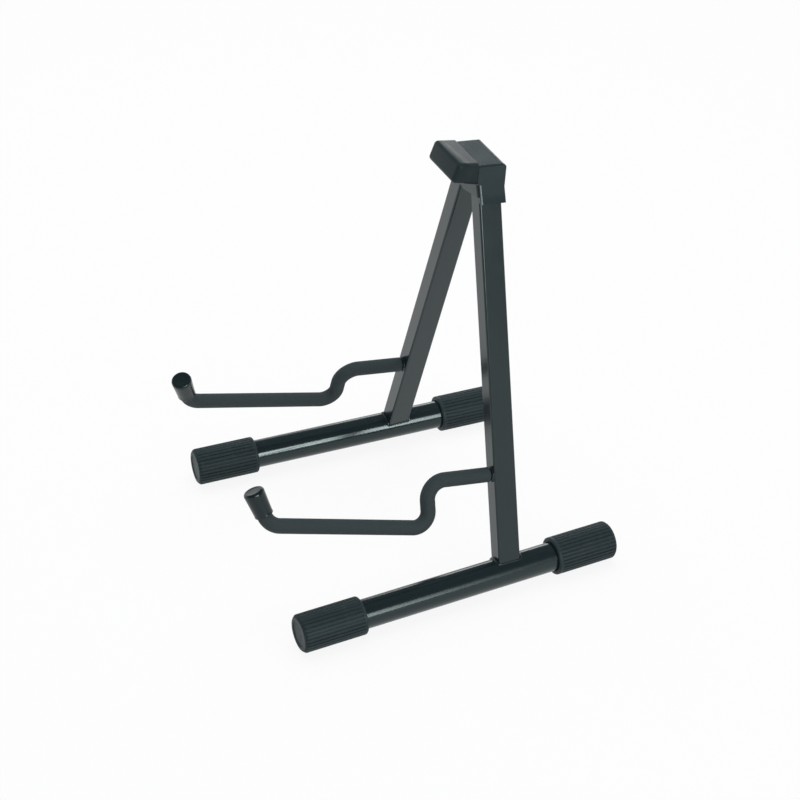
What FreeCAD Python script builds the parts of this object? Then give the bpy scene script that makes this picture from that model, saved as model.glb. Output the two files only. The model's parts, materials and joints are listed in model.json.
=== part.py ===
"""A folding A-frame guitar stand, written as one STEP file per piece.

Lengths are in millimetres and angles in degrees.

The stand's own frame: X runs across the stand, Y runs from the front to the
back and Z is up.  The floor is Z = 0.

Two smaller frames are used while the pieces are made.
  Leaning plane: X across, Y through its depth, Z up along it.  Both legs, the
  arms and the head lie in it.  Its origin is midway between the foot bars.
  Leg: X out of the leg's outer face, Y through its depth, Z up along the leg.
  Its origin is on the foot bar's axis.

Only the right-hand pieces are drawn.  The left-hand ones are their mirrors.
"""

import FreeCAD
import Part

import math
import os

from FreeCAD import Placement, Rotation, Vector

X_AXIS = Vector(1, 0, 0)
Y_AXIS = Vector(0, 1, 0)
Z_AXIS = Vector(0, 0, 1)

# Foot bars: round steel tube, welded across the lower end of each leg
bar_radius = 12.7
bar_wall = 1.2
bar_front_reach = 193.3
bar_rear_reach = 100.4
bar_toe_angle = 2.35

# Foot caps: ribbed rubber cups on both ends of each bar
cap_radius = 16.5
cap_length = 56.7
cap_end_wall = 4.0
cap_end_chamfer = 2.2
cap_mouth_round = 1.2
cap_lip_length = 3.4
cap_disc_radius = 11.0
cap_disc_depth = 0.6
rib_count = 32
rib_height = 0.8
rib_groove_width = 1.5

# Legs: rectangular steel tube with rounded corners
leg_width = 16.0
leg_depth = 20.0
leg_wall = 1.2
leg_corner_radius = 1.6
leg_inner_corner_radius = 0.5
leg_splay_angle = 18.5
leg_lean_angle = 4.18
foot_weld_size = 2.0

# Hinges: each leg turns on a bolt that runs through the head from back to front
hinge_height = 327.0
hinge_half_spacing = 10.8
leg_above_hinge = 4.8
plug_length = 24.0
plug_corner_radius = 0.8
bolt_radius = 2.5
bolt_head_radius = 4.75
bolt_head_height = 2.75
bolt_head_round = 2.0
bolt_socket_across = 3.0
bolt_socket_depth = 1.7
bolt_end_beyond_nut = 2.0
head_washer_radius = 5.0
head_washer_thickness = 1.0
nut_across = 8.0
nut_height = 4.7
thrust_washer_radius = 7.0
thrust_washer_thickness = 0.5

# Clearances
running_gap = 0.05
push_fit_gap = 0.05
bolt_hole_gap = 0.1
side_gap = 0.1
top_gap = 0.4
seat_gap = 0.3
overrun = 5.0

# Head housing: moulded shell over the leg tops, with a nose for the bumper
top_wall = 2.0
end_wall = 2.2
rear_wall = 1.8
front_wall = 1.6
crease_wall = 1.6
top_rise = 1.0
rear_top_round = 3.0
end_top_round = 2.0
skirt_crease_drop = 10.5
skirt_crease_rise = 4.0
skirt_front_drop = 21.2
skirt_rear_drop = 22.7
skirt_flare_angle = 23.6
apron_rise_angle = 10.0
middle_rib_half_thickness = 0.9
middle_rib_drop = 15.0
skirt_corner_round = 3.4
nose_top_length = 16.6
nose_low_length = 20.9
nose_rise = 1.8
nose_front_height = 13.0
nose_underside_rise = 4.1
nose_front_round = 1.5
nose_wall = 2.2
nut_block_length = 5.6
nut_seat_wall = 1.7

# Bumper: soft rubber boot over the nose
boot_wall = 2.0
boot_edge_round = 3.6
boot_low_round = 3.8
boot_end_round = 3.4

# Cradle arms: bent steel rod, welded into the leg's front face
rod_radius = 5.0
arm_entry_height = 86.8
arm_toe_angle = 1.1
crank_reach = 69.5
crank_top_height = 92.1
crank_low_height = 51.8
tip_bend_reach = 210.2
tip_bend_height = 81.8
tip_end_reach = 221.6
tip_end_height = 113.4
crank_top_bend_radius = 15.5
crank_low_bend_radius = 12.5
tip_bend_radius = 17.0
arm_weld_size = 2.0

# Arm covers: foam-rubber sleeve and vinyl tip cap
sleeve_radius = 6.4
tip_cap_length = 23.0
tip_cap_mouth_radius = 7.7
tip_cap_end_radius = 8.8
tip_cap_end_wall = 3.0
tip_cap_round = 2.2

# Places worked out from the sizes above
splay = math.radians(leg_splay_angle)
bar_height = cap_radius
foot_half_width = hinge_half_spacing + hinge_height * math.tan(splay)
hinge_along_leg = hinge_height / math.cos(splay)
leg_top = hinge_along_leg + leg_above_hinge
hollow_half_depth = leg_depth / 2 + thrust_washer_thickness + side_gap
front_face = -(hollow_half_depth + front_wall)
rear_face = hollow_half_depth + rear_wall
leg_corner_rise = leg_above_hinge * math.cos(splay) + leg_width / 2 * math.sin(splay)
hollow_top = hinge_height + leg_corner_rise + top_gap
head_top = hollow_top + top_wall
crease_height = hinge_height - skirt_crease_drop
skirt_front_bottom = hinge_height - skirt_front_drop
skirt_rear_bottom = hinge_height - skirt_rear_drop
skirt_inner = leg_width / 2 + side_gap


def leg_line_x(height, offset):
    """X at a height in the leaning plane, on a line beside the right leg's axis."""
    return foot_half_width - height * math.tan(splay) + offset / math.cos(splay)


def leg_line_height(x, offset):
    """The height at which that line crosses an X."""
    return (foot_half_width + offset / math.cos(splay) - x) / math.tan(splay)


head_half_width = leg_line_x(crease_height, skirt_inner + crease_wall)
skirt_flare = (crease_height - skirt_rear_bottom) * math.tan(math.radians(skirt_flare_angle))
skirt_half_width = head_half_width + skirt_flare
inner_half_width = head_half_width - end_wall
nose_half_width = head_half_width - boot_wall
nut_seat = -(hollow_half_depth + nut_seat_wall)
nut_block_front = front_face - nut_block_length

# How the smaller frames lie in the stand's own frame
along_y = Rotation(X_AXIS, -90)
lean_place = Placement(Vector(0, 0, bar_height), Rotation(X_AXIS, -leg_lean_angle))
leg_in_plane = Placement(Vector(foot_half_width, 0, 0), Rotation(Y_AXIS, -leg_splay_angle))
leg_place = lean_place * leg_in_plane
arm_place = leg_place * Placement(Vector(), Rotation(Z_AXIS, arm_toe_angle))
bar_place = Placement(Vector(foot_half_width, 0, bar_height), Rotation(Z_AXIS, bar_toe_angle) * along_y)


def moved(shape, place):
    """A copy of a shape, carried by a placement."""
    copy = shape.copy()
    copy.Placement = place * copy.Placement
    return copy


def corner_arc(before, corner, after, radius):
    """The arc that rounds one corner, with the points where it starts and ends."""
    to_before = (before - corner).normalize()
    to_after = (after - corner).normalize()
    half_angle = to_before.getAngle(to_after) / 2
    start = corner + to_before * (radius / math.tan(half_angle))
    end = corner + to_after * (radius / math.tan(half_angle))
    inward = (to_before + to_after).normalize()
    middle = corner + inward * (radius / math.sin(half_angle) - radius)
    return start, Part.Arc(start, middle, end), end


def outline(points, radii):
    """A flat face with these corners, each rounded by its own radius, where 0 is sharp."""
    count = len(points)
    corners = []
    for i in range(count):
        if radii[i] > 0:
            corners.append(corner_arc(points[i - 1], points[i], points[(i + 1) % count], radii[i]))
        else:
            corners.append((points[i], None, points[i]))
    edges = []
    for i in range(count):
        start, arc, end = corners[i]
        if arc:
            edges.append(arc.toShape())
        edges.append(Part.LineSegment(end, corners[(i + 1) % count][0]).toShape())
    return Part.Face(Part.Wire(edges))


def bent_wire(points, radii):
    """A path of straight runs, with an arc at every inner point."""
    edges = []
    last = points[0]
    for i in range(len(radii)):
        start, arc, end = corner_arc(points[i], points[i + 1], points[i + 2], radii[i])
        edges.append(Part.LineSegment(last, start).toShape())
        edges.append(arc.toShape())
        last = end
    edges.append(Part.LineSegment(last, points[-1]).toShape())
    return Part.Wire(edges)


def pipe(wire, radius):
    """A round bar along a path."""
    first = wire.OrderedEdges[0]
    start = first.valueAt(first.FirstParameter)
    heading = first.tangentAt(first.FirstParameter)
    section = Part.Wire(Part.makeCircle(radius, start, heading))
    return wire.makePipeShell([section], True, False)


def turned(points, radii):
    """A solid of revolution about Z, from an outline in the XZ plane."""
    return outline(points, radii).revolve(Vector(), Z_AXIS, 360)


def hex_prism(across, bottom, height):
    """A hexagonal prism about Z, with two flats square to Y."""
    corner_radius = across / 2 / math.cos(math.pi / 6)
    corners = []
    for i in range(6):
        turn = i * math.pi / 3
        corners.append(Vector(corner_radius * math.cos(turn), corner_radius * math.sin(turn), bottom))
    return outline(corners, [0] * 6).extrude(Z_AXIS * height)


def ring(outer_radius, inner_radius, bottom, height):
    """A flat ring about Z."""
    outer = Part.makeCylinder(outer_radius, height, Vector(0, 0, bottom))
    inner = Part.makeCylinder(inner_radius, height + 2 * overrun, Vector(0, 0, bottom - overrun))
    return outer.cut(inner)


def grown(points, distance):
    """The corners of an outline in the YZ plane, with each side moved out by a distance."""
    corners = []
    for before, corner, after in zip(points[-1:] + points[:-1], points, points[1:] + points[:1]):
        side_before = (corner - before).normalize().cross(X_AXIS)
        side_after = (after - corner).normalize().cross(X_AXIS)
        shift = (side_before + side_after) * (distance / (1 + side_before.dot(side_after)))
        corners.append(corner + shift)
    return corners


def across_x(face, half_width):
    """An outline in the YZ plane, extruded to both sides of X = 0."""
    solid = face.extrude(X_AXIS * (2 * half_width))
    solid.translate(X_AXIS * -half_width)
    return solid


def along_depth(face, front, back):
    """An outline in the XZ plane, extruded from front to back."""
    solid = face.extrude(Y_AXIS * (back - front))
    solid.translate(Y_AXIS * front)
    return solid


# Foot bars and their caps

def foot_bar():
    front = cap_end_wall - bar_front_reach
    length = bar_front_reach + bar_rear_reach - 2 * cap_end_wall
    return moved(ring(bar_radius, bar_radius - bar_wall, front, length), bar_place)


def bar_envelope(radius):
    """A round solid about the bar's axis, long enough to cope the leg to the bar."""
    half_length = leg_depth + overrun
    return moved(Part.makeCylinder(radius, 2 * half_length, Vector(0, 0, -half_length)), bar_place)


def cap_grooves():
    """The gaps between the ribs: a rib points straight down, so the cap rests on one."""
    inner_radius = cap_radius - rib_height
    corner = Vector(inner_radius, -rib_groove_width / 2, cap_lip_length)
    groove = Part.makeBox(rib_height + overrun, rib_groove_width, cap_length, corner)
    pitch = 360 / rib_count
    grooves = []
    for i in range(rib_count):
        grooves.append(moved(groove, Placement(Vector(), Rotation(Z_AXIS, pitch * (i + 0.5)))))
    return Part.makeCompound(grooves)


def foot_cap():
    """One cup about Z, with its mouth at Z = 0."""
    corners = [
        Vector(0, 0, 0),
        Vector(cap_radius, 0, 0),
        Vector(cap_radius, 0, cap_length - cap_end_chamfer),
        Vector(cap_radius - cap_end_chamfer, 0, cap_length),
        Vector(0, 0, cap_length),
    ]
    cup = turned(corners, [0, cap_mouth_round, 0, 0, 0])
    bore_depth = cap_length - cap_end_wall + overrun
    bore = Part.makeCylinder(bar_radius + push_fit_gap, bore_depth, Vector(0, 0, -overrun))
    recess_floor = Vector(0, 0, cap_length - cap_disc_depth)
    recess = Part.makeCylinder(cap_disc_radius, cap_disc_depth + overrun, recess_floor)
    return cup.cut([bore, recess, cap_grooves()])


def front_foot_cap():
    mouth = cap_length - bar_front_reach
    return moved(foot_cap(), bar_place * Placement(Vector(0, 0, mouth), Rotation(X_AXIS, 180)))


def rear_foot_cap():
    mouth = bar_rear_reach - cap_length
    return moved(foot_cap(), bar_place * Placement(Vector(0, 0, mouth), Rotation()))


# Legs

def leg_prism(growth, corner_radius, bottom, top):
    """The leg's rounded section, grown on every side and extruded along the leg."""
    half_width = leg_width / 2 + growth
    half_depth = leg_depth / 2 + growth
    corners = [
        Vector(-half_width, -half_depth, bottom),
        Vector(half_width, -half_depth, bottom),
        Vector(half_width, half_depth, bottom),
        Vector(-half_width, half_depth, bottom),
    ]
    return outline(corners, [corner_radius] * 4).extrude(Z_AXIS * (top - bottom))


def leg_envelope():
    return moved(leg_prism(0, leg_corner_radius, 0, leg_top), leg_place)


def hinge_hole(radius):
    """A pin through the leg at the hinge, in the leg's frame."""
    length = leg_depth + 2 * overrun
    return Part.makeCylinder(radius, length, Vector(0, -length / 2, hinge_along_leg), Y_AXIS)


def leg_tube():
    """Square-cut at the top and coped to the bar at the foot."""
    outer = leg_prism(0, leg_corner_radius, 0, leg_top)
    inner = leg_prism(-leg_wall, leg_inner_corner_radius, -overrun, leg_top + overrun)
    tube = moved(outer.cut([inner, hinge_hole(bolt_radius + bolt_hole_gap)]), leg_place)
    entry = arm_point(leg_depth / 2 + overrun, arm_run_height(leg_depth / 2 + overrun))
    hole_depth = 2 * overrun
    arm_hole = Part.makeCylinder(rod_radius + push_fit_gap, hole_depth, entry, arm_run_heading() * -1)
    return tube.cut([bar_envelope(bar_radius), moved(arm_hole, arm_place)])


def leg_plug():
    """A moulded insert that fills the top of the tube and carries the hinge bolt."""
    body = leg_prism(-(leg_wall + push_fit_gap), plug_corner_radius, leg_top - plug_length, leg_top)
    return moved(body.cut(hinge_hole(bolt_radius + running_gap)), leg_place)


def foot_weld():
    """The bead round the foot of the leg, where it stands on the bar."""
    corner_radius = leg_corner_radius + foot_weld_size
    around_leg = moved(leg_prism(foot_weld_size, corner_radius, 0, 2 * bar_radius), leg_place)
    bead = around_leg.common(bar_envelope(bar_radius + foot_weld_size))
    return bead.cut([bar_envelope(bar_radius), leg_envelope()])


# Cradle arms, drawn in the leg's frame turned out by the arm's toe

def arm_point(reach, height):
    """A point a reach in front of the leg's axis and a height along the leg."""
    return Vector(0, -reach, height)


def arm_run_height(reach):
    """The height of the arm's first run at a reach."""
    return arm_entry_height + (crank_top_height - arm_entry_height) * reach / crank_reach


def arm_run_heading():
    return (arm_point(crank_reach, crank_top_height) - arm_point(0, arm_entry_height)).normalize()


def tip_heading():
    tip_end = arm_point(tip_end_reach, tip_end_height)
    return (tip_end - arm_point(tip_bend_reach, tip_bend_height)).normalize()


def arm_wire(start_reach, short_of_tip):
    """The arm's centre line: out, down the crank, along the cradle and up at the tip."""
    points = [
        arm_point(start_reach, arm_run_height(start_reach)),
        arm_point(crank_reach, crank_top_height),
        arm_point(crank_reach, crank_low_height),
        arm_point(tip_bend_reach, tip_bend_height),
        arm_point(tip_end_reach, tip_end_height) - tip_heading() * short_of_tip,
    ]
    return bent_wire(points, [crank_top_bend_radius, crank_low_bend_radius, tip_bend_radius])


def arm_rod():
    """It goes through the leg's front wall and stops short of the back wall."""
    inner_end = -(leg_depth / 2 - leg_wall - seat_gap)
    return moved(pipe(arm_wire(inner_end, tip_cap_end_wall), rod_radius), arm_place)


def arm_sleeve():
    start = leg_depth / 2 + arm_weld_size + seat_gap
    outer = pipe(arm_wire(start, tip_cap_end_wall), sleeve_radius)
    inner = pipe(arm_wire(start - overrun, tip_cap_end_wall - overrun), rod_radius + push_fit_gap)
    return moved(outer.cut(inner), arm_place)


def arm_weld():
    """A ring of weld round the rod, on the leg's front face."""
    wall_reach = leg_depth / 2 - arm_weld_size
    base = arm_point(wall_reach, arm_run_height(wall_reach))
    wide_radius = rod_radius + 2 * arm_weld_size
    narrow_radius = rod_radius + arm_weld_size / 4
    heading = arm_run_heading()
    cone = Part.makeCone(wide_radius, narrow_radius, 2 * arm_weld_size, base, heading)
    rod = Part.makeCylinder(rod_radius, 4 * arm_weld_size, base - heading * arm_weld_size, heading)
    return moved(cone.cut(rod), arm_place).cut(leg_envelope())


def arm_tip_cap():
    """A cup pushed over the end of the sleeve, a little wider at its closed end."""
    corners = [
        Vector(0, 0, 0),
        Vector(tip_cap_mouth_radius, 0, 0),
        Vector(tip_cap_end_radius, 0, tip_cap_length),
        Vector(0, 0, tip_cap_length),
    ]
    cup = turned(corners, [0, 0, tip_cap_round, 0])
    bore_depth = tip_cap_length - tip_cap_end_wall + overrun
    bore = Part.makeCylinder(sleeve_radius + push_fit_gap, bore_depth, Vector(0, 0, -overrun))
    mouth = arm_point(tip_end_reach, tip_end_height) - tip_heading() * tip_cap_length
    return moved(cup.cut(bore), arm_place * Placement(mouth, Rotation(Z_AXIS, tip_heading())))


# Hinge hardware, drawn about Z with the bolt's head at the top

def hinge_place(y):
    """A frame on the right hinge's axis, with Z pointing to the back."""
    return lean_place * Placement(Vector(hinge_half_spacing, y, hinge_height), along_y)


def hinge_bolt():
    seat = rear_face + head_washer_thickness
    corners = [
        Vector(0, 0, 0),
        Vector(bolt_head_radius, 0, 0),
        Vector(bolt_head_radius, 0, bolt_head_height),
        Vector(0, 0, bolt_head_height),
    ]
    head = turned(corners, [0, 0, bolt_head_round, 0])
    length = seat - nut_seat + nut_height + bolt_end_beyond_nut
    shank = Part.makeCylinder(bolt_radius, length, Vector(0, 0, -length))
    socket_floor = bolt_head_height - bolt_socket_depth
    socket = hex_prism(bolt_socket_across, socket_floor, bolt_socket_depth + overrun)
    return moved(head.fuse(shank).cut(socket).removeSplitter(), hinge_place(seat))


def hinge_nut():
    body = hex_prism(nut_across, -nut_height, nut_height)
    length = nut_height + 2 * overrun
    hole = Part.makeCylinder(bolt_radius + push_fit_gap, length, Vector(0, 0, overrun - length))
    return moved(body.cut(hole), hinge_place(nut_seat))


def bolt_head_washer():
    washer = ring(head_washer_radius, bolt_radius + bolt_hole_gap, 0, head_washer_thickness)
    return moved(washer, hinge_place(rear_face))


def thrust_washer_pair():
    """One nylon washer in front of the leg and one behind it."""
    near_side = leg_depth / 2 + side_gap / 2
    behind = ring(thrust_washer_radius, bolt_radius + push_fit_gap, near_side, thrust_washer_thickness)
    in_front = ring(
        thrust_washer_radius,
        bolt_radius + push_fit_gap,
        -near_side - thrust_washer_thickness,
        thrust_washer_thickness,
    )
    return [moved(behind, hinge_place(0)), moved(in_front, hinge_place(0))]


# Head, drawn in the leaning plane

def nose_corners():
    """The nose's side view: rear top, front top, front low and rear low."""
    rear_top = Vector(0, front_face, head_top + top_rise)
    front_top = rear_top + Vector(0, -nose_top_length, nose_rise)
    front_low = Vector(0, front_face - nose_low_length, front_top.z - nose_front_height)
    rear_low = Vector(0, front_face, front_low.z - nose_underside_rise)
    return [rear_top, front_top, front_low, rear_low]


def nose():
    """A box on the head's front, open below, with a solid block behind for the nuts."""
    rear_top, front_top, front_low, rear_low = nose_corners()
    side = outline(nose_corners(), [0, nose_front_round, nose_front_round, 0])
    hollow = [
        Vector(0, nut_block_front, rear_top.z - nose_wall),
        Vector(0, front_top.y + nose_wall, front_top.z - nose_wall),
        Vector(0, front_low.y + nose_wall, front_low.z - overrun),
        Vector(0, nut_block_front, rear_low.z - overrun),
    ]
    hollow_solid = across_x(outline(hollow, [0] * 4), nose_half_width - nose_wall)
    return across_x(side, nose_half_width).cut(hollow_solid)


def housing_body():
    """The shell's outer form: its side view crossed with the front views of its two parts."""
    side = [
        Vector(0, front_face, skirt_front_bottom),
        Vector(0, rear_face, skirt_rear_bottom),
        Vector(0, rear_face, head_top),
        Vector(0, front_face, head_top + top_rise),
    ]
    slab = across_x(outline(side, [0, 0, rear_top_round, 0]), skirt_half_width + overrun)
    skirts = slab.common(flared_block())
    skirts = skirts.makeFillet(skirt_corner_round, front_corner_edges(skirts))
    middle = slab.common(rounded_block()).cut(flared_block())
    return middle.fuse(skirts)


def down_the_depth(points, radii, rise):
    """An outline that stands on the rear plane, extruded to the front while it rises."""
    slope = Vector(0, front_face - rear_face, rise)
    face = outline(points, radii)
    face.translate(Y_AXIS * rear_face - slope)
    return face.extrude(slope * 3)


def rounded_block():
    """The head's middle part, with both top edges rounded."""
    low = skirt_rear_bottom - overrun
    points = [
        Vector(-head_half_width, 0, low),
        Vector(head_half_width, 0, low),
        Vector(head_half_width, 0, head_top),
        Vector(-head_half_width, 0, head_top),
    ]
    return down_the_depth(points, [0, 0, end_top_round, end_top_round], top_rise)


def flared_block():
    """The skirts, which flare from a crease that falls from the front to the back."""
    low_x = skirt_half_width + overrun * math.tan(math.radians(skirt_flare_angle))
    low = skirt_rear_bottom - overrun
    points = [
        Vector(-low_x, 0, low),
        Vector(low_x, 0, low),
        Vector(head_half_width, 0, crease_height),
        Vector(-head_half_width, 0, crease_height),
    ]
    return down_the_depth(points, [0] * 4, skirt_crease_rise)


def front_corner_edges(skirts):
    """The edges down the skirts' two front corners."""
    edges = []
    for edge in skirts.Edges:
        box = edge.BoundBox
        at_front = box.YMax < front_face + running_gap
        at_side = box.XMin > head_half_width - running_gap or box.XMax < running_gap - head_half_width
        if at_front and at_side:
            edges.append(edge)
    return edges


def leg_hollow():
    """The space inside the shell in which both leg tops turn."""
    low = skirt_rear_bottom - overrun
    low_x = leg_line_x(low, skirt_inner)
    bend = leg_line_height(inner_half_width, skirt_inner)
    front = [
        Vector(-low_x, 0, low),
        Vector(low_x, 0, low),
        Vector(inner_half_width, 0, bend),
        Vector(inner_half_width, 0, hollow_top),
        Vector(-inner_half_width, 0, hollow_top),
        Vector(-inner_half_width, 0, bend),
    ]
    return along_depth(outline(front, [0] * 6), -hollow_half_depth, hollow_half_depth)


def middle_rib():
    """The rib between the two leg tops, joined to the front, back and top walls."""
    front = -(hollow_half_depth + front_wall / 2)
    back = hollow_half_depth + rear_wall / 2
    bottom = hinge_height - middle_rib_drop
    height = hollow_top + top_wall / 2 - bottom
    corner = Vector(-middle_rib_half_thickness, front, bottom)
    return Part.makeBox(2 * middle_rib_half_thickness, back - front, height, corner)


def apron_trim():
    """What is cut off the front wall, so that its lower edge rises from the middle outwards."""
    reach = skirt_half_width + overrun
    rise = reach * math.tan(math.radians(apron_rise_angle))
    low = skirt_rear_bottom - overrun
    below = [
        Vector(0, 0, low),
        Vector(reach, 0, low),
        Vector(reach, 0, skirt_front_bottom + rise),
        Vector(0, 0, skirt_front_bottom),
    ]
    return along_depth(outline(below, [0] * 4), front_face - overrun, -hollow_half_depth)


def bolt_and_nut_holes():
    """The right hinge's hole through both walls, and its nut's pocket."""
    start = Vector(hinge_half_spacing, nut_block_front - overrun, hinge_height)
    length = rear_face - nut_block_front + 2 * overrun
    hole = Part.makeCylinder(bolt_radius + bolt_hole_gap, length, start, Y_AXIS)
    pocket_depth = nut_seat - nut_block_front + overrun
    pocket = hex_prism(nut_across + 2 * bolt_hole_gap, -pocket_depth, pocket_depth)
    place = Placement(Vector(hinge_half_spacing, nut_seat, hinge_height), along_y)
    return [hole, moved(pocket, place)]


def head_housing():
    right_cuts = bolt_and_nut_holes() + [apron_trim()]
    left_cuts = [cut.mirror(Vector(), X_AXIS) for cut in right_cuts]
    shell = housing_body().cut(leg_hollow()).fuse([middle_rib(), nose()])
    return moved(shell.cut(right_cuts + left_cuts).removeSplitter(), lean_place)


def head_bumper():
    """The boot: it covers the nose's top, front, underside and ends."""
    side = outline(grown(nose_corners(), boot_wall), [0, boot_edge_round, boot_low_round, 0])
    block = across_x(side, head_half_width)
    rear = front_face - seat_gap
    size = Vector(head_half_width + overrun, boot_wall + overrun, head_top)
    corner = Vector(-size.x, rear, hinge_height / 2)
    block = block.cut(Part.makeBox(2 * size.x, size.y, size.z, corner))
    block = block.makeFillet(boot_end_round, boot_end_edges(block, rear))
    inside = across_x(outline(grown(nose_corners(), push_fit_gap), [0] * 4), nose_half_width + push_fit_gap)
    return moved(block.cut(inside), lean_place)


def boot_end_edges(block, rear):
    """The edges round both ends of the boot, but not those at its open back."""
    edges = []
    for edge in block.Edges:
        box = edge.BoundBox
        on_end = abs(box.XMin) > head_half_width - running_gap and box.XLength < running_gap
        if on_end and box.YMin < rear - running_gap:
            edges.append(edge)
    return edges


# The whole stand

right_side = {
    "leg_tube": leg_tube(),
    "leg_plug": leg_plug(),
    "foot_bar": foot_bar(),
    "front_foot_cap": front_foot_cap(),
    "rear_foot_cap": rear_foot_cap(),
    "foot_weld": foot_weld(),
    "arm_rod": arm_rod(),
    "arm_sleeve": arm_sleeve(),
    "arm_tip_cap": arm_tip_cap(),
    "arm_weld": arm_weld(),
    "hinge_bolt": hinge_bolt(),
    "hinge_nut": hinge_nut(),
}

nodes = {"head_housing": head_housing(), "head_bumper": head_bumper()}
for name, shape in right_side.items():
    nodes[name + "_right"] = shape
    nodes[name + "_left"] = shape.mirror(Vector(), X_AXIS)


def both_sides(solids):
    """One node for like pieces on both sides, as separate solids."""
    return Part.makeCompound(solids + [solid.mirror(Vector(), X_AXIS) for solid in solids])


nodes["bolt_head_washers"] = both_sides([bolt_head_washer()])
nodes["leg_thrust_washers"] = both_sides(thrust_washer_pair())

# The origin goes to the middle of the stand's footprint
stand_box = Part.makeCompound(list(nodes.values())).optimalBoundingBox()
centre_shift = Vector(0, -(stand_box.YMin + stand_box.YMax) / 2, 0)
to_origin = Placement(centre_shift, Rotation())

hinge_point = to_origin.multVec(lean_place.multVec(Vector(hinge_half_spacing, 0, hinge_height)))
hinge_axis = lean_place.Rotation.multVec(Y_AXIS)

os.makedirs("parts", exist_ok=True)
for name, shape in nodes.items():
    nodes[name] = moved(shape, to_origin)
    nodes[name].exportStep("parts/" + name + ".step")

print("box", [round(v, 2) for v in (stand_box.XLength, stand_box.YLength, stand_box.ZLength)])
print("moved back by", round(centre_shift.y, 3), "lowest point", round(stand_box.ZMin, 4))
print("right hinge at", hinge_point, "axis", hinge_axis)
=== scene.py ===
# %% [markdown]
# # A folding guitar stand
#
# Two rectangular legs meet in a moulded head.  Each stands on a round foot bar
# with ribbed rubber caps, and carries a bent cradle arm under a foam-rubber
# sleeve.  The tubes, rods and hinge hardware come from the CAD model as they
# are.  The soft pieces, the head and the welds are built again here, because
# their rounded lips, beads and ribs are what the light shows first.  All of it
# is in metres, in the frame of the CAD model.

import json
import math

import bmesh
import bpy
from mathutils import Matrix, Vector


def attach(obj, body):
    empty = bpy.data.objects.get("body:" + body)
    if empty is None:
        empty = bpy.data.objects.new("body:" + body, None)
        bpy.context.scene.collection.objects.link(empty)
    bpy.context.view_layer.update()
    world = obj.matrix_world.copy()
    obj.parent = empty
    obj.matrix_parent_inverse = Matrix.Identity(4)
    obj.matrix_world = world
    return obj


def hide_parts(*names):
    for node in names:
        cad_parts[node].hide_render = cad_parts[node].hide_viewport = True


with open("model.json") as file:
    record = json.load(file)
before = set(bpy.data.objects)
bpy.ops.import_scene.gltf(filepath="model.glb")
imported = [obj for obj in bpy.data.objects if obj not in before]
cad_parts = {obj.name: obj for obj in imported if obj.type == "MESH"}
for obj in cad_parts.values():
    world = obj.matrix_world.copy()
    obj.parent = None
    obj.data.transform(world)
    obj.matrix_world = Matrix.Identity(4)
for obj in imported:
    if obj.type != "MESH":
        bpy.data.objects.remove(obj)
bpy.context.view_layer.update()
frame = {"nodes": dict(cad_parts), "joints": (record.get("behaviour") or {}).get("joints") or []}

# %% [markdown]
# ## Where things are
#
# The real stand is set out in three steps: a plane that leans back, a leg that
# splays in that plane, and an arm that toes out from the leg.  The same three
# steps, written as matrices, let each piece be drawn flat about its own axis
# and then be carried to its place.  The hinge of the CAD model fixes the origin.

# %% Sizes and places
mm = 0.001
lean = math.radians(4.18)
splay = math.radians(18.5)
bar_toe = math.radians(2.35)
arm_toe = math.radians(1.1)
hinge_height = 327.0 * mm
hinge_half_spacing = 10.8 * mm
leg_half_width = 8.0 * mm
leg_half_depth = 10.0 * mm
leg_corner = 1.6 * mm
bar_radius = 12.7 * mm
cap_radius = 16.5 * mm

across = Vector((1, 0, 0))
upward = Vector((0, 0, 1))
hinge = Vector(frame["joints"][0]["pos_m"])
foot_half_width = hinge_half_spacing + hinge_height * math.tan(splay)
back_shift = hinge.y - hinge_height * math.sin(lean)

lean_place = Matrix.Translation((0, back_shift, cap_radius)) @ Matrix.Rotation(-lean, 4, "X")
leg_place = (
    lean_place
    @ Matrix.Translation((foot_half_width, 0, 0))
    @ Matrix.Rotation(-splay, 4, "Y")
)
arm_place = leg_place @ Matrix.Rotation(arm_toe, 4, "Z")
bar_place = (
    Matrix.Translation((foot_half_width, back_shift, cap_radius))
    @ Matrix.Rotation(bar_toe, 4, "Z")
    @ Matrix.Rotation(-math.pi / 2, 4, "X")
)
mirror = Matrix.Diagonal((-1, 1, 1, 1))
print("feet at x =", round(foot_half_width / mm, 2), "mm")
print("shifted back", round(back_shift / mm, 2), "mm")

# %% [markdown]
# ## Shader sums that read like sums
#
# A finish is a small calculation: a bit of noise, scaled, added to a value.
# Nodes can be made one by one, which takes ten lines for one sum.  A wrapper
# round a socket, with + and * overloaded, keeps a material readable, and one
# method makes every other kind of node.

# %% A socket that can be added and multiplied
class Wire:
    """A place in a material's node tree, usually the output of one node."""

    def __init__(self, tree, socket=None):
        self.tree = tree
        self.socket = socket

    def node(self, kind, settings=None, values=None, output=0):
        """Any node: its settings first, then the values or links of its sockets."""
        made = self.tree.nodes.new(kind)
        for name, value in (settings or {}).items():
            if name == "stops":
                self.set_stops(made.color_ramp, value)
            else:
                setattr(made, name, value)
        for name, value in (values or {}).items():
            if isinstance(value, Wire):
                self.tree.links.new(value.socket, made.inputs[name])
            else:
                made.inputs[name].default_value = value
        return Wire(self.tree, made.outputs[output])

    def set_stops(self, ramp, stops):
        for place, grey in stops[1:-1]:
            ramp.elements.new(place)
        for element, (place, grey) in zip(ramp.elements, stops):
            element.position = place
            element.color = (grey, grey, grey, 1)

    def combined(self, operation, other):
        return self.node("ShaderNodeMath", {"operation": operation}, {0: self, 1: other})

    def __add__(self, other):
        return self.combined("ADD", other)

    def __mul__(self, other):
        return self.combined("MULTIPLY", other)

    def or_more(self, other):
        return self.combined("MAXIMUM", other)

    __radd__ = __add__


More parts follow.
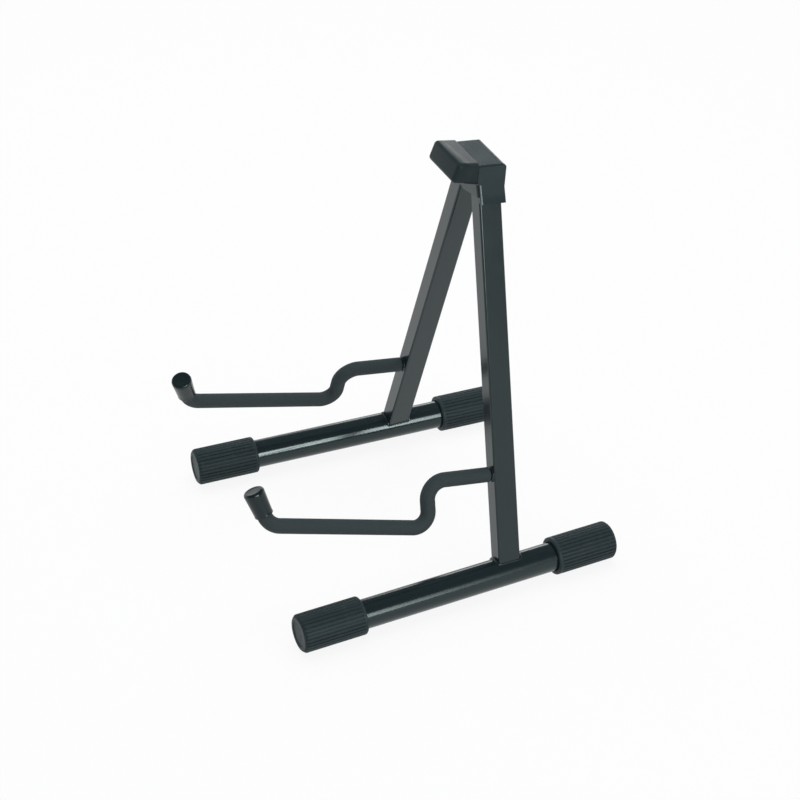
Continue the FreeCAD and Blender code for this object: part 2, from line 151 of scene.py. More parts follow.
# %% [markdown]
# ## Patterns that every finish uses
#
# The surfaces differ in scale and strength more than in kind.  Speckle is
# noise at a given grain size in millimetres, and spots are the highest parts
# of it.  Colours are mixed by a mask with a Mix node, because a Math node would
# turn them grey.

# %% Speckle, mixed colours and a finished surface
def surface_points(start):
    """Object coordinates: the nodes and pieces all have their origin at the stand's."""
    return start.node("ShaderNodeTexCoord", output="Object")


def speckle(start, grain, detail=2.0, points=None):
    """Noise from 0 to 1 whose lumps are about one grain across, in millimetres."""
    points = points or surface_points(start)
    values = {"Vector": points, "Scale": 1 / (grain * mm), "Detail": detail}
    return start.node("ShaderNodeTexNoise", None, values)


def stretched_speckle(start, grain, stretch):
    """The same noise, drawn out along the stand's height, as a rolled face is."""
    squeezed = start.node(
        "ShaderNodeVectorMath",
        {"operation": "MULTIPLY"},
        {0: surface_points(start), 1: (1, 1, 1 / stretch)},
    )
    return speckle(start, grain, points=squeezed)


def spots(start, noise, low, high):
    """0 below the low level of a noise, 1 above the high one, and a ramp between."""
    stops = [(0.0, 0.0), (low, 0.0), (high, 1.0)]
    return start.node("ShaderNodeValToRGB", {"stops": stops}, {0: noise})


def mixed(start, mask, colour, other_colour):
    return start.node(
        "ShaderNodeMix",
        {"data_type": "RGBA"},
        {0: mask, 6: (*colour, 1), 7: (*other_colour, 1)},
        output=2,
    )


def relief(start, height, depth):
    """A bump whose full height is a depth in millimetres."""
    values = {"Height": height, "Distance": depth * mm, "Strength": 1.0}
    return start.node("ShaderNodeBump", None, values, "Normal")


def new_finish(name):
    """An empty material, and the wire from which its pattern is drawn."""
    material = bpy.data.materials.new(name)
    material.use_nodes = True
    material.node_tree.nodes.clear()
    return material, Wire(material.node_tree)


def end_with(start, shader, kind="ShaderNodeOutputMaterial"):
    """Joins a shader to the output of its material, or of the world."""
    output = start.tree.nodes.new(kind)
    start.tree.links.new(shader.socket, output.inputs["Surface"])


def coat_with(start, values):
    """Puts the surface shader at the end of a finish."""
    end_with(start, start.node("ShaderNodeBsdfPrincipled", None, values))


finishes = {}


def keep_finish(name, material):
    """Files a finish under the name that the pieces ask for."""
    finishes[name] = material
    print("finish", name, "has", len(material.node_tree.nodes), "nodes")


# %% [markdown]
# ## Powder coat
#
# The steel is sprayed with dry powder that melts into a skin.  The skin flows
# out into a faint orange peel a millimetre or two wide, and it is glossy enough
# for the round bars to carry a clear line of light.  A flat black could not
# show either, so the peel goes into the bump and a slow drift into the gloss.
# The gloss is a little cool, as a carbon-black powder's is, and here and there
# a grain of dust sits on it.

# %% Powder-coated steel
cool_gloss = (0.84, 1.0, 1.0, 1)


def powder_coat():
    material, start = new_finish("powder_coated_steel")
    peel = speckle(start, 1.6, 1.0)
    drift = speckle(start, 22.0)
    drawn = stretched_speckle(start, 2.4, 14.0)
    dust = spots(start, speckle(start, 0.9), 0.66, 0.8) * 0.18
    coat_with(start, {
        "Base Color": mixed(start, dust, (0.0085, 0.0145, 0.0162), (0.06, 0.07, 0.074)),
        "Roughness": 0.13 + drift * 0.03 + drawn * 0.05,
        "Specular IOR Level": 0.46,
        "Specular Tint": cool_gloss,
        "Normal": relief(start, peel * 0.7 + drawn * 0.3, 0.018),
    })
    return material


keep_finish("powder_coated_steel", powder_coat())


# %% [markdown]
# ## Moulded plastic
#
# The head's mould was spark-eroded, which leaves an even, fine grain.  The
# grain breaks up the gloss a little, and its gloss is weaker than the coated
# steel's, so the head looks softer than the legs.  A slow change in roughness
# stands for the way the melt met the mould.

# %% Moulded plastic
def moulded_plastic():
    material, start = new_finish("moulded_plastic")
    grain = speckle(start, 0.55, 3.0)
    flow = speckle(start, 16.0)
    coat_with(start, {
        "Base Color": mixed(start, flow, (0.0155, 0.0247, 0.027), (0.021, 0.0312, 0.0335)),
        "Roughness": 0.15 + flow * 0.06 + grain * 0.04,
        "Specular IOR Level": 0.3,
        "Specular Tint": cool_gloss,
        "Normal": relief(start, grain, 0.018),
    })
    return material


keep_finish("moulded_plastic", moulded_plastic())

# %% [markdown]
# ## Bumper rubber
#
# The boot that the guitar's back rests on is a dense, soft rubber with hardly
# any gloss, so its faces are told apart by the light that falls on them.  Its
# skin blooms: wax comes to the surface in paler clouds.  A second speckle, much
# wider than the grain, makes the colour and the roughness drift together.

# %% Bumper rubber
def bumper_rubber():
    material, start = new_finish("bumper_rubber")
    grain = speckle(start, 0.7, 3.0)
    bloom = speckle(start, 11.0)
    coat_with(start, {
        "Base Color": mixed(start, bloom, (0.014, 0.0215, 0.0238), (0.02, 0.0292, 0.0315)),
        "Roughness": 0.34 + bloom * 0.1,
        "Specular IOR Level": 0.1,
        "Specular Tint": cool_gloss,
        "Normal": relief(start, grain, 0.03),
    })
    return material


keep_finish("bumper_rubber", bumper_rubber())

# %% [markdown]
# ## Ribbed rubber
#
# The foot caps are a harder, greyer rubber that stands on the floor, so it is
# scuffed in places.  The ribs are real shape, and the finish adds only what is
# too small to build: the grain, and scuffs that are paler and rougher.

# %% Ribbed rubber
def ribbed_rubber():
    material, start = new_finish("ribbed_rubber")
    grain = speckle(start, 0.5, 3.0)
    scuff = spots(start, speckle(start, 5.0, 4.0), 0.52, 0.75)
    coat_with(start, {
        "Base Color": mixed(start, scuff, (0.0205, 0.031, 0.034), (0.029, 0.0405, 0.0437)),
        "Roughness": 0.46 + scuff * 0.14,
        "Specular IOR Level": 0.14,
        "Specular Tint": cool_gloss,
        "Normal": relief(start, grain, 0.03),
    })
    return material


keep_finish("ribbed_rubber", ribbed_rubber())

# %% [markdown]
# ## Foam-rubber sleeve
#
# The sleeve is closed-cell foam.  Its skin is full of fine pores, which noise
# can't draw, because noise has no cells.  A Voronoi pattern does: the distance
# from each cell's middle makes a field of small pits.

# %% Foam-rubber sleeve
def sleeve_foam():
    material, start = new_finish("sleeve_rubber")
    cells = {"Vector": surface_points(start), "Scale": 1 / (0.8 * mm), "Randomness": 1.0}
    pores = start.node("ShaderNodeTexVoronoi", None, cells, "Distance")
    lumps = speckle(start, 4.0)
    coat_with(start, {
        "Base Color": mixed(start, lumps, (0.019, 0.0292, 0.0312), (0.0275, 0.0393, 0.042)),
        "Roughness": 0.74 + lumps * 0.12,
        "Specular IOR Level": 0.32,
        "Normal": relief(start, pores * 0.7 + lumps * 0.5, 0.06),
    })
    return material


keep_finish("sleeve_rubber", sleeve_foam())

# %% [markdown]
# ## Dipped vinyl
#
# The tip caps are the blackest and glossiest of the soft pieces.  Vinyl that is
# dipped sags a little before it sets, which a wide, shallow bump shows, and a
# thin coat over the surface gives the second, clearer gloss of its skin.

# %% Dipped vinyl
def dipped_vinyl():
    material, start = new_finish("vinyl")
    sag = speckle(start, 3.2, 1.0)
    drift = speckle(start, 9.0)
    coat_with(start, {
        "Base Color": mixed(start, drift, (0.0045, 0.0092, 0.0105), (0.007, 0.0125, 0.014)),
        "Roughness": 0.2 + drift * 0.1,
        "Specular IOR Level": 0.3,
        "Specular Tint": cool_gloss,
        "Coat Roughness": 0.12,
        "Coat Weight": 0.12,
        "Normal": relief(start, sag, 0.04),
    })
    return material


keep_finish("vinyl", dipped_vinyl())

# %% [markdown]
# ## Small hardware
#
# The hinge bolts, nuts and washers are steel, blackened in a bath, which leaves
# a cloudy metal.  The thrust washers are plain white nylon.  They hardly show,
# but someone who opens the head in a scene will find them right.

# %% Blackened steel and nylon
def blackened_steel():
    material, start = new_finish("blackened_steel")
    cloud = speckle(start, 1.8, 3.0)
    coat_with(start, {
        "Base Color": mixed(start, cloud, (0.045, 0.046, 0.05), (0.09, 0.09, 0.095)),
        "Metallic": 0.85,
        "Roughness": 0.3 + cloud * 0.16,
        "Normal": relief(start, cloud, 0.012),
    })
    return material


def natural_nylon():
    material, start = new_finish("nylon")
    haze = speckle(start, 2.5)
    coat_with(start, {
        "Base Color": mixed(start, haze, (0.7, 0.69, 0.64), (0.78, 0.77, 0.73)),
        "Roughness": 0.4 + haze * 0.15,
        "Normal": relief(start, haze, 0.01),
    })
    return material


keep_finish("blackened_steel", blackened_steel())
keep_finish("nylon", natural_nylon())

# %% [markdown]
# ## Finishes on the CAD pieces
#
# The legs, foot bars, rods and hardware have their right shape already.  A CAD
# piece is never moved or reshaped, so it only gets a finish.  The pieces that
# are built again below are in the table too, so no CAD piece is left bare.

# %% Dress the CAD pieces
cad_finishes = {
    "leg_tube": "powder_coated_steel",
    "foot_bar": "powder_coated_steel",
    "arm_rod": "powder_coated_steel",
    "leg_plug": "moulded_plastic",
    "hinge_bolt": "blackened_steel",
    "hinge_nut": "blackened_steel",
    "bolt_head_washers": "blackened_steel",
    "leg_thrust_washers": "nylon",
    "head_housing": "moulded_plastic",
    "head_bumper": "bumper_rubber",
    "foot_weld": "powder_coated_steel",
    "arm_weld": "powder_coated_steel",
    "front_foot_cap": "ribbed_rubber",
    "rear_foot_cap": "ribbed_rubber",
    "arm_sleeve": "sleeve_rubber",
    "arm_tip_cap": "vinyl",
}
for node_name, node in frame["nodes"].items():
    plain_name = node_name.removesuffix("_right").removesuffix("_left")
    node.data.materials.clear()
    node.data.materials.append(finishes[cad_finishes[plain_name]])
print("dressed", len(frame["nodes"]), "CAD pieces")

# %% [markdown]
# ## One way to build every soft piece
#
# A cap, a sleeve, a bead and the bumper are all a row of outlines with a skin
# stretched over them.  Outlines are easy to shape with a formula, and the skin
# never leaves a gap, so one helper serves them all.  Others set points round a
# heading, put the finished mesh in its place and hand it to its body.  Edges
# sharper than the crease angle stay sharp, and the rest are shaded smooth.

# %% Stretch a skin over outlines
crease_angle = math.radians(38)


def skin(outlines, joined=False):
    """A mesh through outlines with as many points each.

    Joined, the last outline meets the first again.  Otherwise the skin is open
    at the first outline, such as a cap's bore, and closed at the last.
    """
    bm = bmesh.new()
    loops = [[bm.verts.new(point) for point in outline] for outline in outlines]
    count = len(loops[0])
    following = loops[1:] + loops[:1] if joined else loops[1:]
    for near, far in zip(loops, following):
        for i in range(count):
            after = (i + 1) % count
            bm.faces.new((near[i], near[after], far[after], far[i]))
    if not joined:
        bm.faces.new(loops[-1])
    return bm


def spokes(heading, count):
    """Directions all round a heading that lies in the arm's plane."""
    upright = across.cross(heading)
    turns = [2 * math.pi * i / count for i in range(count)]
    return [across * math.cos(turn) + upright * math.sin(turn) for turn in turns]


def place_piece(name, bm, place, body, stands_for, slot):
    """Turns a drawn mesh into a piece of the stand."""
    bmesh.ops.transform(bm, matrix=place, verts=bm.verts)
    bmesh.ops.recalc_face_normals(bm, faces=bm.faces)
    mesh = bpy.data.meshes.new(name)
    bm.to_mesh(mesh)
    bm.free()
    for polygon in mesh.polygons:
        polygon.use_smooth = True
    mesh.set_sharp_from_angle(angle=crease_angle)
    mesh.materials.append(finishes[slot])
    piece = bpy.data.objects.new(name, mesh)
    bpy.context.scene.collection.objects.link(piece)
    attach(piece, body)
    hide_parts(*stands_for)
    return piece


def both_sides(name, draw, place, node, slot):
    """The piece on the right leg and its mirror image on the left one."""
    for side, flip in (("right", Matrix.Identity(4)), ("left", mirror)):
        body, stands_for = f"leg_{side}", [f"{node}_{side}"]
        piece = place_piece(f"{name}_{side}", draw(), flip @ place, body, stands_for, slot)
    print(name, len(piece.data.vertices), "points a side")


# %% [markdown]
# ## Foot caps
#
# A rubber cup is pushed on each end of a foot bar.  Its outside has 32 ribs
# that stop at a smooth lip round the mouth, and its closed end is bevelled
# round a slightly sunken disc.  Turned on a lathe it would be smooth, so the
# radius also follows a rib pattern round the axis.  Ten points a rib are
# enough, because they crowd together on the rib's flanks.

# %% Ribbed foot cap
cap_length = 56.7 * mm
front_reach = 193.3 * mm
rear_reach = 100.4 * mm
rib_count = 32
rib_height = 0.8 * mm
rib_pattern = [
    # share of the way from one rib to the next, and how deep the groove is there
    (0.0, 0.0), (0.17, 0.0), (0.25, 0.12), (0.30, 0.55), (0.36, 0.95),
    (0.5, 1.0), (0.64, 0.95), (0.70, 0.55), (0.75, 0.12), (0.83, 0.0),
]
cap_profile = [
    # radius and depth from the mouth in mm, and how much of the groove shows there
    (12.8, 6.0, 0), (12.8, 1.0, 0), (13.1, 0.3, 0), (13.7, 0.0, 0),
    (15.2, 0.0, 0), (15.9, 0.2, 0), (16.35, 0.7, 0), (16.5, 1.4, 0),
    (16.5, 2.7, 0), (16.45, 3.1, 0.15), (16.45, 3.5, 0.7), (16.5, 4.1, 1),
    (16.5, 28.0, 1), (16.5, 53.8, 1), (16.42, 54.3, 1), (16.1, 54.9, 1),
    (15.0, 56.0, 0.95), (14.65, 56.35, 0.5), (14.3, 56.6, 0.1), (13.8, 56.7, 0),
    (11.7, 56.7, 0), (11.25, 56.55, 0), (11.0, 56.15, 0), (10.6, 56.0, 0),
    (6.0, 56.0, 0), (1.0, 56.0, 0),
]


def turned_point(radius, turn, depth):
    """A point of a turned piece, whose axis is Z and whose mouth is at 0."""
    return Vector((radius * math.cos(turn), radius * math.sin(turn), depth))


def ribbed_cap():
    outlines = []
    for radius, depth, groove in cap_profile:
        outline = []
        for i in range(rib_count):
            for share, drop in rib_pattern:
                turn = 2 * math.pi * (i + share) / rib_count
                sunk = radius * mm - rib_height * drop * groove
                outline.append(turned_point(sunk, turn, depth * mm))
        outlines.append(outline)
    return skin(outlines)


front_mouth = (
    bar_place
    @ Matrix.Translation((0, 0, cap_length - front_reach))
    @ Matrix.Rotation(math.pi, 4, "X")
)
rear_mouth = bar_place @ Matrix.Translation((0, 0, rear_reach - cap_length))
both_sides("front_cap", ribbed_cap, front_mouth, "front_foot_cap", "ribbed_rubber")
both_sides("rear_cap", ribbed_cap, rear_mouth, "rear_foot_cap", "ribbed_rubber")

# %% [markdown]
# ## The cradle arm's line
#
# The rod is bent three times in one plane.  The sleeve and the cap follow it,
# so its line is worked out once: straight runs, with a true arc at each bend.
# Each point also keeps its heading, and the centre of the bend that it is in.

# %% The arm's path
arm_entry_height = 86.8 * mm
crank_top = (69.5 * mm, 92.1 * mm)
crank_low = (69.5 * mm, 51.8 * mm)
tip_bend = (210.2 * mm, 81.8 * mm)
tip_end = (221.6 * mm, 113.4 * mm)
arm_bends = [15.5 * mm, 12.5 * mm, 17.0 * mm]
fewest_steps_in_a_bend = 4


def arm_point(reach_and_height):
    """A point a reach in front of the leg and a height along it."""
    return Vector((0, -reach_and_height[0], reach_and_height[1]))


tip = arm_point(tip_end)
tip_heading = (tip - arm_point(tip_bend)).normalized()


def entry_point(reach):
    """A point on the rod's first run, a reach in front of the leg's middle."""
    climb = (crank_top[1] - arm_entry_height) * reach / crank_top[0]
    return arm_point((reach, arm_entry_height + climb))


def arm_line(start_reach, short_of_tip, step):
    """Points, headings and bend centres along the rod, a step apart."""
    corners = [
        entry_point(start_reach),
        arm_point(crank_top),
        arm_point(crank_low),
        arm_point(tip_bend),
        tip - tip_heading * short_of_tip,
    ]
    stations = []
    last = corners[0]
    for before, corner, after, radius in zip(corners, corners[1:], corners[2:], arm_bends):
        start, end, centre = arc_in_corner(before, corner, after, radius)
        stations += straight_run(last, start, step)
        stations += round_bend(start, end, centre, step)
        last = end
    stations += straight_run(last, corners[-1], step)
    return stations + [(corners[-1], tip_heading, None)]


def arc_in_corner(before, corner, after, radius):
    """Where an arc that rounds a corner starts and ends, and its centre."""
    back = (before - corner).normalized()
    ahead = (after - corner).normalized()
    half = back.angle(ahead) / 2
    along = radius / math.tan(half)
    centre = corner + (back + ahead).normalized() * (radius / math.sin(half))
    return corner + back * along, corner + ahead * along, centre


def straight_run(start, end, step):
    count = max(1, round((end - start).length / step))
    heading = (end - start).normalized()
    return [(start.lerp(end, i / count), heading, None) for i in range(count)]


def round_bend(start, end, centre, step):
    first = start - centre
    last = end - centre
    turn = first.angle(last)
    count = max(fewest_steps_in_a_bend, round(turn * first.length / step))
    axis = first.cross(last).normalized()
    stations = []
    for i in range(count):
        spoke = Matrix.Rotation(turn * i / count, 3, axis) @ first
        stations.append((centre + spoke, axis.cross(spoke).normalized(), centre))
    return stations


print("arm line: from", list(entry_point(leg_half_depth)), "to", list(tip))

# %% [markdown]
# ## Foam sleeves
#
# The sleeve is a foam tube pulled over the rod.  In a bend the outside is
# stretched smooth and the inside is pressed into shallow folds, so the radius
# loses a little there in waves.  A curve with a round bevel would bend too, but
# it can't fold, so rings are set along the line one by one.

# %% Arm sleeve
sleeve_radius = 6.4 * mm
sleeve_sides = 40
sleeve_step = 0.8 * mm
gap_before_sleeve = 2.3 * mm
sleeve_short_of_tip = 3.0 * mm
fold_length = 3.1 * mm
fold_depth = 0.16 * mm
sleeve_mouth = [
    # radius and depth from the mouth in mm, from the bore to the outside
    (5.1, 3.0), (5.15, 0.2), (5.9, 0.0), (6.25, 0.1), (6.4, 0.45),
]


def folded_radius(inward, run):
    """The sleeve's radius, from how far it faces into a bend and the place along it."""
    wave = 0.5 - 0.5 * math.cos(2 * math.pi * run / fold_length)
    return sleeve_radius - fold_depth * max(0.0, inward) ** 2 * wave


def foam_sleeve():
    stations = arm_line(leg_half_depth + gap_before_sleeve, sleeve_short_of_tip, sleeve_step)
    start, start_heading = stations[0][:2]
    start_spokes = spokes(start_heading, sleeve_sides)
    outlines = []
    for radius, depth in sleeve_mouth:
        centre = start + start_heading * depth * mm
        outlines.append([centre + spoke * radius * mm for spoke in start_spokes])
    run = 0.0
    last = start
    for centre, heading, bend_centre in stations[1:]:
        run += (centre - last).length
        last = centre
        inside = Vector() if bend_centre is None else (bend_centre - centre).normalized()
        outlines.append([
            centre + spoke * folded_radius(spoke.dot(inside), run)
            for spoke in spokes(heading, sleeve_sides)
        ])
    return skin(outlines)


both_sides("foam_sleeve", foam_sleeve, arm_place, "arm_sleeve", "sleeve_rubber")

# %% [markdown]
# ## Tip caps
#
# A vinyl cap is pushed over the sleeve's end.  It was made by dipping a former,
# so its mouth has a rolled edge, its side swells a little towards the closed
# end, and the end is flat with a full round.  It is turned about its own axis.

# %% Vinyl tip cap
tip_sides = 48
tip_cap_length = 23.0 * mm
tip_profile = [
    # radius and depth from the mouth in mm
    (6.5, 5.0), (6.5, 0.9), (6.75, 0.25), (7.2, 0.0), (7.7, 0.2), (7.95, 0.75),
    (7.88, 1.4), (7.8, 2.1), (7.95, 5.0), (8.3, 12.0), (8.65, 18.0), (8.78, 20.3),
    (8.72, 21.2), (8.45, 22.0), (7.95, 22.6), (7.3, 22.92), (6.7, 23.0), (5.6, 22.9),
    (5.1, 22.78), (3.0, 22.75), (0.6, 22.75),
]


def vinyl_cap():
    turns = [2 * math.pi * i / tip_sides for i in range(tip_sides)]
    return skin([
        [turned_point(radius * mm, turn, depth * mm) for turn in turns]
        for radius, depth in tip_profile
    ])


tip_place = (
    arm_place
    @ Matrix.Translation(tip - tip_heading * tip_cap_length)
    @ tip_heading.to_track_quat("Z", "Y").to_matrix().to_4x4()
)
both_sides("tip_cap", vinyl_cap, tip_place, "arm_tip_cap", "vinyl")

# %% [markdown]
# ## Weld beads
#
# A leg's foot is welded all round to its bar, and the rod to the leg's front.
# A bead is a row of frozen puddles, so its thickness rises and falls along its
# length.  The foot's bead follows the leg's outline down onto the round bar:
# each point of the outline is dropped until it is one bar radius from the bar's
# axis.  A Boolean cut would find the same line, but not as points in a row.

# %% The leg's outline, dropped onto the bar
points_a_corner = 6


def leg_outline():
    """Points and outward directions round the leg's rounded section."""
    corner_signs = [(1, 1), (-1, 1), (-1, -1), (1, -1)]
    points = []
    for quarter, (sign_x, sign_y) in enumerate(corner_signs):
        centre_x = sign_x * (leg_half_width - leg_corner)
        centre_y = sign_y * (leg_half_depth - leg_corner)
        for i in range(points_a_corner):
            turn = math.pi / 2 * (quarter + i / (points_a_corner - 1))
            outward = Vector((math.cos(turn), math.sin(turn), 0))
            points.append((Vector((centre_x, centre_y, 0)) + outward * leg_corner, outward))
    return points


bar_axis = (leg_place.inverted() @ bar_place).to_3x3() @ upward


def drop_to_bar(point):
    """The same point at the height where it meets the bar's surface."""
    # the rise at which the distance from the bar's axis, squared, is the radius squared
    along = point.dot(bar_axis)
    a = 1 - bar_axis.z ** 2
    b = -along * bar_axis.z
    c = point.length_squared - along ** 2 - bar_radius ** 2
    return point + upward * (-b + math.sqrt(b * b - a * c)) / a


foot_heights = [round(drop_to_bar(point).z / mm, 1) for point, outward in leg_outline()]
print("the leg meets its bar", min(foot_heights), "to", max(foot_heights), "mm above its axis")

# %% [markdown]
# The bead itself is a round ring of outlines set on that line.  It is full at
# the front and back of the leg, and thin along the sides.

# %% Beads
bead_sides = 14
bead_swell = 0.09
foot_bead_step = 0.45 * mm
foot_bead_ripple = 2.1 * mm
foot_bead_thin = 0.7 * mm
foot_bead_extra = 1.0 * mm
foot_bead_seat_share = 0.25
rod_bead_points = 96
rod_bead_ripple = 2.0 * mm
rod_bead_ring = 5.4 * mm
rod_bead_size = 1.45 * mm


def evenly_spaced(points, step):
    """The same closed line with points a step apart."""
    spaced = []
    for (start, out_start), (end, out_end) in zip(points, points[1:] + points[:1]):
        count = max(1, round((end - start).length / step))
        for i in range(count):
            share = i / count
            spaced.append((start.lerp(end, share), out_start.lerp(out_end, share).normalized()))
    return spaced


def bead_about(stations, ripple_length):
    """A closed bead: each station is a point, two directions and a size."""
    outlines = []
    run = 0.0
    last = stations[0][0]
    for centre, outward, along, size in stations:
        run += (centre - last).length
        last = centre
        radius = size * (1 + bead_swell * abs(math.sin(math.pi * run / ripple_length)))
        outline = []
        for i in range(bead_sides):
            turn = 2 * math.pi * i / bead_sides
            spoke = outward * math.cos(turn) + along * math.sin(turn)
            outline.append(centre + spoke * radius)
        outlines.append(outline)
    return skin(outlines, joined=True)


def foot_bead():
    stations = []
    for point, outward in evenly_spaced(leg_outline(), foot_bead_step):
        size = foot_bead_thin + foot_bead_extra * outward.y ** 2
        seat = drop_to_bar(point + outward * size * foot_bead_seat_share)
        stations.append((seat, outward, upward, size))
    return bead_about(stations, foot_bead_ripple)


def rod_bead():
    base = entry_point(leg_half_depth)
    heading = (arm_point(crank_top) - entry_point(0)).normalized()
    stations = [
        (base + outward * rod_bead_ring, outward, heading, rod_bead_size)
        for outward in spokes(heading, rod_bead_points)
    ]
    return bead_about(stations, rod_bead_ripple)


both_sides("foot_bead", foot_bead, leg_place, "foot_weld", "powder_coated_steel")
both_sides("rod_bead", rod_bead, arm_place, "arm_weld", "powder_coated_steel")

# %% [markdown]
# ## The bumper boot
#
# A soft boot wraps the head's nose, where the guitar's back rests.  Seen from
# the side it is a block with rounded edges, leaning out at the bottom, and its
# ends are rounded too.  Outlines of that side view are set across the stand,
# each one shrunk a little near an end, and the skin is thickened inwards, so
# the boot is hollow and open at the back, as the real one is.

# %% The boot's side view
front_face = -12.2 * mm
crease_height = 316.5 * mm
crease_beyond_leg_line = 9.7 * mm
leg_line_x = foot_half_width - crease_height * math.tan(splay)
head_half_width = leg_line_x + crease_beyond_leg_line / math.cos(splay)
nose_rear_top = Vector((0, front_face, 337.49 * mm))
nose_front_top = nose_rear_top + Vector((0, -16.6, 1.8)) * mm
nose_front_low = Vector((0, front_face - 20.9 * mm, nose_front_top.z - 13.0 * mm))
nose_rear_low = Vector((0, front_face, nose_front_low.z - 4.1 * mm))
nose_line = [nose_rear_top, nose_front_top, nose_front_low, nose_rear_low]
boot_wall = 2.0 * mm
boot_skin = 1.9 * mm
boot_rear = Vector((0, front_face - 0.3 * mm, 0))
boot_edge_rounds = [3.6 * mm, 3.8 * mm]
boot_least_round = 0.4 * mm
boot_end_round = 3.8 * mm
steps_in_edge_round = 8
steps_in_end_round = 7


def crossing(start, heading, other_start, other_heading):
    """Where two lines in the YZ plane cross."""
    gap = other_start - start
    slant = heading.y * other_heading.z - heading.z * other_heading.y
    share = (gap.y * other_heading.z - gap.z * other_heading.y) / slant
    return start + heading * share


def moved_out(points, distance):
    """Each side of an open outline moved out, with its ends kept on the rear plane."""
    lines = []
    for start, end in zip(points, points[1:]):
        heading = end - start
        lines.append((start + heading.normalized().cross(across) * distance, heading))
    corners = [crossing(*line, *following) for line, following in zip(lines, lines[1:])]
    rear_start, rear_end = [crossing(*line, boot_rear, upward) for line in (lines[0], lines[-1])]
    return [rear_start, *corners, rear_end]


def rounded(corners, radii, steps):
    """An open outline with its inner corners rounded."""
    points = [corners[0]]
    for before, corner, after, radius in zip(corners, corners[1:], corners[2:], radii):
        start, end, centre = arc_in_corner(before, corner, after, radius)
        first, last = start - centre, end - centre
        axis = first.cross(last).normalized()
        for i in range(steps + 1):
            turn = first.angle(last) * i / steps
            points.append(centre + Matrix.Rotation(turn, 3, axis) @ first)
    return points + [corners[-1]]


def boot_outline(inset):
    corners = moved_out(nose_line, boot_wall - inset)
    edge_rounds = [max(boot_least_round, radius - inset) for radius in boot_edge_rounds]
    return rounded(corners, edge_rounds, steps_in_edge_round)


print("the boot's side view has", len(boot_outline(0)), "points")

# %% [markdown]
# The side views are set closer together near the ends, where the boot is
# rounded, and far apart between, where it is straight.

# %% Bumper boot
def boot_stations():
    """Places across the stand, and how much the side view shrinks at each."""
    right_end = []
    for i in range(steps_in_end_round + 1):
        turn = math.pi / 2 * i / steps_in_end_round
        x = head_half_width - boot_end_round * (1 - math.sin(turn))
        right_end.append((x, boot_end_round * (1 - math.cos(turn))))
    return [(-x, inset) for x, inset in reversed(right_end)] + right_end


def bumper_boot():
    bm = bmesh.new()
    loops = []
    for x, inset in boot_stations():
        loops.append([bm.verts.new(point + across * x) for point in boot_outline(inset)])
    for near, far in zip(loops, loops[1:]):
        for i in range(len(near) - 1):
            bm.faces.new((near[i], near[i + 1], far[i + 1], far[i]))
    bm.faces.new(loops[0])
    bm.faces.new(list(reversed(loops[-1])))
    return bm


boot = place_piece(
    "bumper_boot", bumper_boot(), lean_place, "head", ["head_bumper"], "bumper_rubber"
)
wall = boot.modifiers.new("rubber wall", "SOLIDIFY")
wall.thickness = boot_skin
wall.offset = -1
print("bumper boot", [round(side / mm, 1) for side in boot.dimensions])

# %% [markdown]
# ## The head housing
#
# The housing is a moulding: its form is right in the CAD model, but no moulded
# edge is as sharp as a drawn one.  A copy of it has its flat faces joined up
# again and every sharp edge eased by a third of a millimetre, which catches a
# thin line of light along the top and the skirts.  Eased edges would tilt the
# shading of the long flat faces beside them, so normals are weighted by area.

# %% Housing with eased edges
joining_distance = 0.004 * mm
flat_angle = math.radians(0.6)
easing_angle = math.radians(32)
easing_width = 0.35 * mm


def housing_copy():
    bm = bmesh.new()
    bm.from_mesh(frame["nodes"]["head_housing"].data)
    bmesh.ops.remove_doubles(bm, verts=bm.verts, dist=joining_distance)
    bmesh.ops.dissolve_limit(bm, angle_limit=flat_angle, verts=bm.verts, edges=bm.edges)
    return bm


in_place = Matrix.Identity(4)
housing = place_piece(
    "eased_housing", housing_copy(), in_place, "head", ["head_housing"], "moulded_plastic"
)
easing = housing.modifiers.new("eased edges", "BEVEL")
easing.width = easing_width
easing.segments = 2
easing.limit_method = "ANGLE"
easing.angle_limit = easing_angle
weighing = housing.modifiers.new("flat faces stay flat", "WEIGHTED_NORMAL")
weighing.keep_sharp = True
print("housing", len(housing.data.polygons), "faces before easing")

# %% [markdown]
# ## The studio
#
# The stand was photographed on a white sweep that runs up behind it, with a
# dark room above and around the camera.  Black things show their surroundings:
# the floor lights the legs' front faces, and the dark room gives them their
# dark corners.  The camera, and gloss, look almost through the floor at the
# white surroundings, and a little of its own tone keeps the soft shadow.  So
# the feet also show when the legs fold, though they then swing below the floor.

# %% Floor and white surroundings
floor_reach = 14.0
floor_clearness = 0.92
floor_paint = (0.86, 0.86, 0.86, 1)
floor_tint = (0.975, 0.975, 0.975, 1)
room_tint = (0.9, 0.95, 1, 1)
room_strength = 0.45
plain_white = (1, 1, 1, 1)


def seen_directly(start):
    """1 for what the camera, gloss or glass sees, and 0 for the light that bounces."""
    kinds = ("Camera", "Glossy", "Transmission")
    rays = [start.node("ShaderNodeLightPath", output=f"Is {kind} Ray") for kind in kinds]
    return rays[0].or_more(rays[1]).or_more(rays[2])


def sweep_paint():
    material, start = new_finish("white_sweep")
    paint = start.node("ShaderNodeBsdfDiffuse", None, {"Color": floor_paint})
    clear = start.node("ShaderNodeBsdfTransparent", None, {"Color": floor_tint})
    share = seen_directly(start) * floor_clearness
    end_with(start, start.node("ShaderNodeMixShader", None, {0: share, 1: paint, 2: clear}))
    return material


def stage_piece(name, mesh, finish):
    """Part of the studio, which isn't a piece of the stand."""
    mesh.materials.append(finish)
    piece = bpy.data.objects.new(name, mesh)
    bpy.context.scene.collection.objects.link(piece)
    return piece


